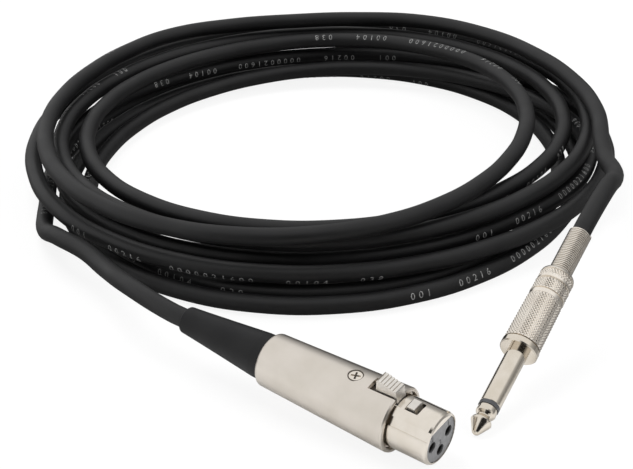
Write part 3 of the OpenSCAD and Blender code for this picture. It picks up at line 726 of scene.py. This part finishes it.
# Strain spring
# Close-wound nickel-plated wire over the cable, held by its seat in the handle, so that it bends with the
# cable and springs back. The real winding is finer: it is drawn with fewer turns, so that they show.
SPRING_WIRE = 0.6
SPRING_R = 3.32
SPRING_TURNS = 28
SPRING_STEPS = 32
SPRING_SIDES = 10
WIRE_SMOOTH = math.radians(50)

bpy.ops.object.select_all(action="DESELECT")
bpy.ops.mesh.primitive_circle_add(
    vertices=SPRING_SIDES, radius=SPRING_WIRE / 2, location=(SPRING_R, 0, 0), rotation=(math.pi / 2, 0, 0)
)
strain_spring = bpy.context.object
strain_spring.name = "strain_spring"
bpy.ops.object.transform_apply(location=True, rotation=True, scale=True)
wind = strain_spring.modifiers.new("wind", "SCREW")
wind.axis = "Z"
wind.angle = 2 * math.pi
wind.iterations = SPRING_TURNS
wind.screw_offset = -(SPRING_END - SPRING_SEAT - SPRING_WIRE) / SPRING_TURNS
wind.steps = wind.render_steps = SPRING_STEPS
bpy.ops.object.modifier_apply(modifier=wind.name)
bpy.ops.object.mode_set(mode="EDIT")
bpy.ops.mesh.select_all(action="SELECT")
bpy.ops.mesh.remove_doubles(threshold=WELD)
bpy.ops.mesh.fill_holes(sides=SPRING_SIDES)
bpy.ops.mesh.select_all(action="SELECT")
bpy.ops.mesh.normals_make_consistent(inside=False)
bpy.ops.transform.translate(value=(0, 0, -SPRING_SEAT - SPRING_WIRE / 2))
bpy.ops.object.mode_set(mode="OBJECT")
bpy.ops.object.shade_smooth_by_angle(angle=WIRE_SMOOTH)
strain_spring.data.transform(plug_frame)

# Drawn wire, nickel plated: bright, with dark lines between the turns.
spring_nickel = new_material("nickel_plated_spring_wire")
surface(
    spring_nickel,
    Base_Color=mottle(spring_nickel, 4, "#dad2c7", "#e3dcd2"),
    Metallic=1.0,
    Roughness=uneven(spring_nickel, 6, 0.18, 0.26),
)
strain_spring.data.materials.append(spring_nickel)
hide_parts("plug_spring")
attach(strain_spring, "cable")


# Studio
# A sweep of white paper under and behind the cable, in a white tent, with four diffused lamps: the key overhead,
# a weaker one in front on the right, one at the right side and one behind.
def mirror_rays(material, rays):
    """1 for what shows in metal and through glass, and 0 for the rest."""
    return add(
        material, "Math", {0: rays["Is Glossy Ray"], 1: rays["Is Transmission Ray"]}, operation="MAXIMUM"
    ).outputs[0]


FLOOR_SIZE = 6
bpy.ops.object.select_all(action="DESELECT")
bpy.ops.mesh.primitive_plane_add(size=FLOOR_SIZE, location=(0, 0, 0))
floor = bpy.context.object
floor.name = "floor"
# Matt paper: nearly plain white to the camera, with a soft shadow. In the metal it shows as it is lit, with a
# painted shadow that darkens it towards the right and from just in front of the coil back.
CAMERA_GLOW, MIRRORED_GLOW = 0.88, 0.1
PAINTED_SHADOW_RIGHT = {"From Min": 0.06, "From Max": 0.1, "To Min": 0.15, "To Max": 0.85}
PAINTED_SHADOW_BACK = {"From Min": -0.115, "From Max": -0.08, "To Min": 0.0, "To Max": 0.9}
floor_paper = new_material("white_paper_sweep")
rays = add(floor_paper, "LightPath").outputs
in_mirrors = add(floor_paper, "Math", {0: mirror_rays(floor_paper, rays), 1: MIRRORED_GLOW}, operation="MULTIPLY")
to_camera = add(floor_paper, "Math", {0: rays["Is Camera Ray"], 1: CAMERA_GLOW}, operation="MULTIPLY")
glowing = add(floor_paper, "Math", {0: to_camera.outputs[0], 1: in_mirrors.outputs[0]}, operation="MAXIMUM")
glow = add(floor_paper, "Emission", {"Color": (1, 1, 1, 1), "Strength": 1.0})
on_floor = add(floor_paper, "SeparateXYZ", {"Vector": add(floor_paper, "TexCoord").outputs["Object"]}).outputs
to_right = add(floor_paper, "MapRange", {"Value": on_floor["X"], **PAINTED_SHADOW_RIGHT})
to_back = add(floor_paper, "MapRange", {"Value": on_floor["Y"], **PAINTED_SHADOW_BACK})
# Painted shadow, seen only in the metal.
painted_floor_shadow = add(floor_paper, "Math", {0: to_right.outputs[0], 1: to_back.outputs[0]}, operation="MAXIMUM")
dark = add(floor_paper, "Math", {0: painted_floor_shadow.outputs[0], 1: rays["Is Glossy Ray"]}, operation="MULTIPLY")
shade = add(floor_paper, "Mix", {0: dark.outputs[0], 6: linear("#f4f4f4"), 7: linear("#2c2a28")}, data_type="RGBA")
paper = surface(floor_paper, Base_Color=shade.outputs[2], Roughness=0.9)
mix = add(floor_paper, "MixShader", {0: glowing.outputs[0], 1: paper.outputs[0], 2: glow.outputs[0]})
output = floor_paper.node_tree.nodes["Material Output"]
floor_paper.node_tree.links.new(mix.outputs[0], output.inputs["Surface"])
floor.data.materials.append(floor_paper)

# The tent stays open low down at the back and the right, where a dark room shows in the metal, and has a dark
# opening at its front that shows only in the roundest bright parts. Matt surfaces are lit by it evenly, and the
# camera sees white.
OPEN_SIDE = (0.6, 0.5, -0.62)
TENT_LEVELS = ((0.04, 1.0), (0.25, 0.5), (0.75, 0.16), (1.0, 0.1))
OPENING = Vector((0.1, -0.92, 0.3)).normalized()
OPENING_EDGE = {"From Min": 0.78, "From Max": 0.87, "To Min": 1.0, "To Max": 0.02}
EVEN_LEVEL = 0.55
world = bpy.context.scene.world or bpy.data.worlds.new("studio")
bpy.context.scene.world = world
world.use_nodes = True
rays = add(world, "LightPath").outputs
toward = add(world, "TexCoord").outputs["Generated"]
open_part = add(world, "VectorMath", {0: toward, 1: OPEN_SIDE}, operation="DOT_PRODUCT").outputs["Value"]
tent = add(world, "ValToRGB", {"Fac": open_part})
stops = tent.color_ramp.elements
for position, _ in TENT_LEVELS[1:-1]:
    stops.new(position)
for stop, (position, level) in zip(stops, TENT_LEVELS):
    stop.position, stop.color = position, (level, level, level, 1)
front_part = add(world, "VectorMath", {0: toward, 1: OPENING}, operation="DOT_PRODUCT").outputs["Value"]
opening = add(world, "MapRange", {"Value": front_part, **OPENING_EDGE})
shown = add(world, "Math", {0: tent.outputs["Color"], 1: opening.outputs[0]}, operation="MULTIPLY")
tent_light = add(world, "MapRange", {
    "Value": mirror_rays(world, rays), "To Min": EVEN_LEVEL, "To Max": shown.outputs[0]
})
all_light = add(world, "MapRange", {
    "Value": rays["Is Camera Ray"], "To Min": tent_light.outputs[0], "To Max": 1.0
})
background = world.node_tree.nodes["Background"]
background.inputs["Color"].default_value = (1, 1, 1, 1)
world.node_tree.links.new(all_light.outputs[0], background.inputs["Strength"])

LAMP_AIM = Vector((0, -0.03, 0.02))


def soft_box(name, place, size, watts):
    """A diffused lamp. In the metal the tent stands for it."""
    light = bpy.data.lights.new(name, "AREA")
    light.shape = "RECTANGLE"
    light.size, light.size_y = size
    light.energy = watts
    lamp = bpy.data.objects.new(name, light)
    bpy.context.scene.collection.objects.link(lamp)
    lamp.location = place
    lamp.rotation_euler = (LAMP_AIM - Vector(place)).to_track_quat("-Z", "Y").to_euler()
    lamp.visible_glossy = False


soft_box("key", (-0.35, 0.25, 1.0), (0.7, 0.5), 9)
soft_box("fill", (0.8, -0.7, 0.7), (0.6, 0.6), 3)
soft_box("side", (0.9, 0.15, 0.5), (0.5, 0.5), 4)
soft_box("back", (0.75, 0.85, 0.4), (0.8, 0.5), 2)
